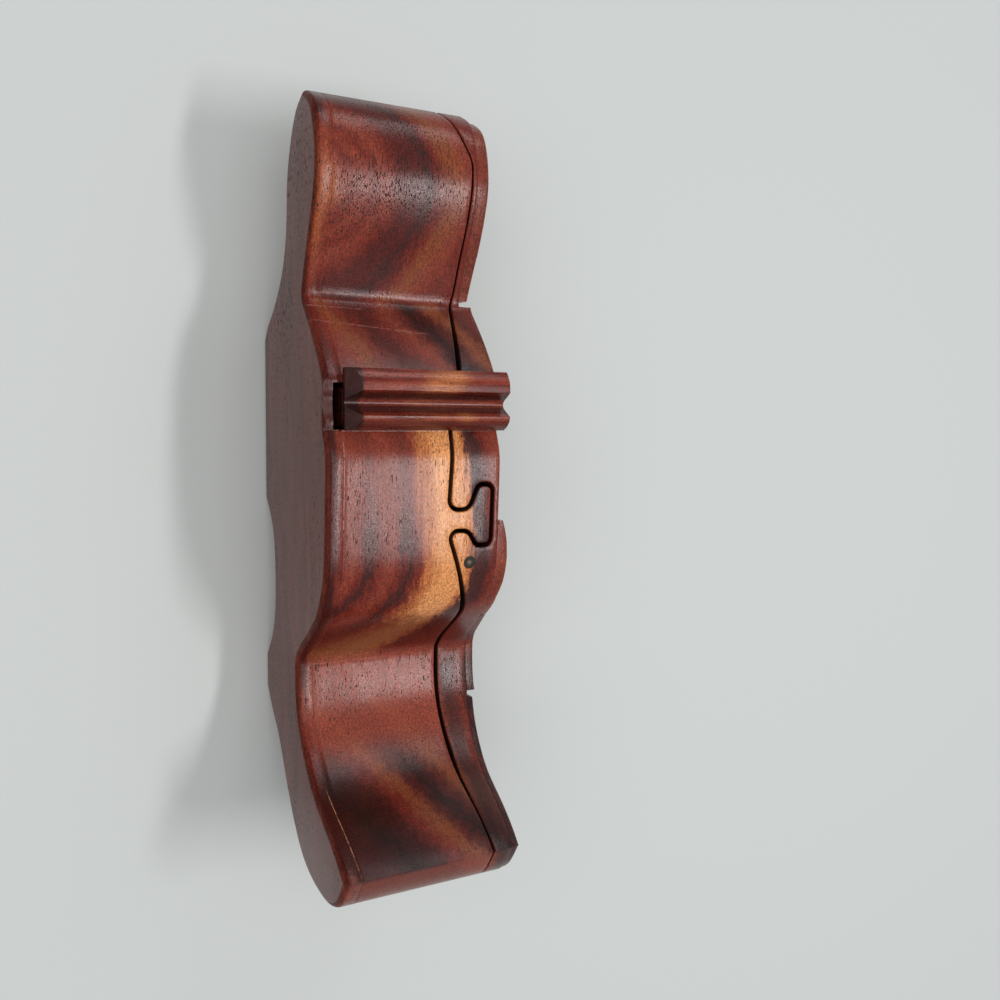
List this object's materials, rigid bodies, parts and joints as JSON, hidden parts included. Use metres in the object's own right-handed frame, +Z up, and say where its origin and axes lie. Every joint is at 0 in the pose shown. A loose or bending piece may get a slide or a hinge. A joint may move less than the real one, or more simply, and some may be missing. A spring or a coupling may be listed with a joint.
{
  "type": "wooden puzzle box",
  "caption": "Band-sawn hardwood puzzle box with a free silhouette, a front that lifts off a jigsaw tab, a fluted sliding key bar and felt-lined hollows.",
  "frame": {"origin": "on the table, under the middle of the length and of the depth", "axes": "+X along the length towards the rounded head, +Y towards the plain back, +Z up"},
  "size_m": [0.1742, 0.0456, 0.056],
  "materials": {
    "block_wood": "satin lacquer over red-brown rosewood with dark streaks",
    "panel_wood": "satin lacquer over straight-grained rosewood",
    "front_wood": "satin lacquer over red-brown rosewood with dark streaks",
    "key_wood": "satin lacquer over red-brown rosewood",
    "red_relief_wood": "satin lacquer over red heartwood",
    "dark_relief_wood": "satin lacquer over purple-black rosewood",
    "dowel_wood": "end grain, lacquered",
    "felt": "short black-brown felt"
  },
  "bodies": {
    "box_body": {"main_block": "block_wood", "back_panel": "panel_wood", "main_hollow_floor_felt": "felt", "main_hollow_wall_felt": "felt", "tail_hollow_floor_felt": "felt", "tail_hollow_wall_felt": "felt"},
    "sliding_front": {"front_block": "front_wood", "front_dowel": "dowel_wood", "head_relief": "red_relief_wood", "hump_relief": "red_relief_wood", "band_relief": "front_wood", "tail_relief": "dark_relief_wood"},
    "key": {"key_bar": "key_wood", "key_rail": "key_wood"}
  },
  "joints": [
    {"name": "front_lift", "type": "slide", "parent": "box_body", "child": "sliding_front", "axis": [0, 0, 1], "range_m": [0, 0.06]},
    {"name": "key_slide", "type": "slide", "parent": "sliding_front", "child": "key", "axis": [0, -1, 0], "range_m": [-0.0015, 0.042]}
  ]
}
